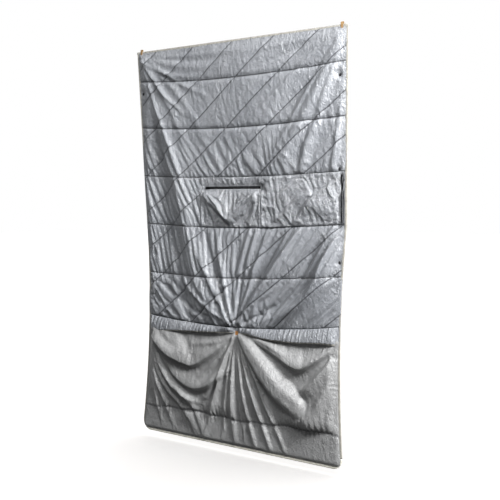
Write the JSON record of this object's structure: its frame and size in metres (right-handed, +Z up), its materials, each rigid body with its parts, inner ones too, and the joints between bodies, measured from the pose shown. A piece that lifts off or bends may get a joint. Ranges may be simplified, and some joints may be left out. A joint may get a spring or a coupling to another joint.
{
  "type": "camp quilt",
  "caption": "Padded sewn-through camping quilt hung from its top corners, with snaps down both sides, two zipped pockets and a slack foot pocket.",
  "frame": {"origin": "middle of the top edge, on the line between the two corner hang loops", "axes": "+X to the right across the quilt seen from its face, +Z up, the face looks along -Y"},
  "size_m": [1.4, 0.0907, 2.042],
  "materials": {
    "shell_cloth": "shiny plain weave",
    "back_cloth": "satin plain weave",
    "foot_cloth": "shiny plain weave",
    "pocket_cloth": "shiny plain weave",
    "lining_cloth": "satin plain weave",
    "fill": "matte fibre",
    "edge_tape": "matte ribbed tape",
    "loop_tape": "matte ribbed tape",
    "tab_tape": "matte ribbed tape",
    "thread": "matte thread",
    "snap": "satin black",
    "zip_tape": "matte ribbed tape",
    "zip_coil": "satin black",
    "zip_metal": "satin black"
  },
  "bodies": {
    "quilt": {"face_shell": "shell_cloth", "batting": "fill", "back_shell": "back_cloth", "binding_top": "edge_tape", "binding_left": "edge_tape", "binding_right": "edge_tape", "binding_bottom": "edge_tape", "hang_loop_left": "loop_tape", "hang_loop_right": "loop_tape", "bartacks": "thread", "snap_caps_left": "snap", "snap_sockets_left": "snap", "snap_studs_right": "snap", "snap_backs_right": "snap", "centre_pocket_panel": "pocket_cloth", "centre_pocket_lining": "lining_cloth", "side_pocket_panel": "pocket_cloth", "side_pocket_lining": "lining_cloth", "foot_pocket_panel": "foot_cloth", "foot_pocket_mouth_hem": "shell_cloth", "foot_tab": "tab_tape", "centre_zip_tape_upper": "zip_tape", "centre_zip_tape_lower": "zip_tape", "centre_zip_coils": "zip_coil", "centre_zip_stops": "zip_metal", "side_zip_tape_outer": "zip_tape", "side_zip_tape_inner": "zip_tape", "side_zip_coils": "zip_coil", "side_zip_stops": "zip_metal"},
    "centre_zip_slider_body": {"centre_zip_slider": "zip_metal"},
    "centre_zip_pull_body": {"centre_zip_pull": "zip_metal"},
    "side_zip_slider_body": {"side_zip_slider": "zip_metal"},
    "side_zip_pull_body": {"side_zip_pull": "zip_metal"}
  },
  "joints": [
    {"name": "centre_zip_slide", "type": "slide", "parent": "quilt", "child": "centre_zip_slider_body", "axis": [1, 0, 0], "range_m": [0, 0.35]},
    {"name": "centre_pull_hinge", "type": "hinge", "parent": "centre_zip_slider_body", "child": "centre_zip_pull_body", "pos_m": [-0.172, -0.0167, -0.73], "axis": [0, 0, -1], "range_deg": [0, 175]},
    {"name": "side_zip_slide", "type": "slide", "parent": "quilt", "child": "side_zip_slider_body", "axis": [0, 0, -1], "range_m": [0, 0.206]},
    {"name": "side_pull_hinge", "type": "hinge", "parent": "side_zip_slider_body", "child": "side_zip_pull_body", "pos_m": [0.672, -0.0097, -0.682], "axis": [-1, 0, 0], "range_deg": [0, 175]}
  ]
}
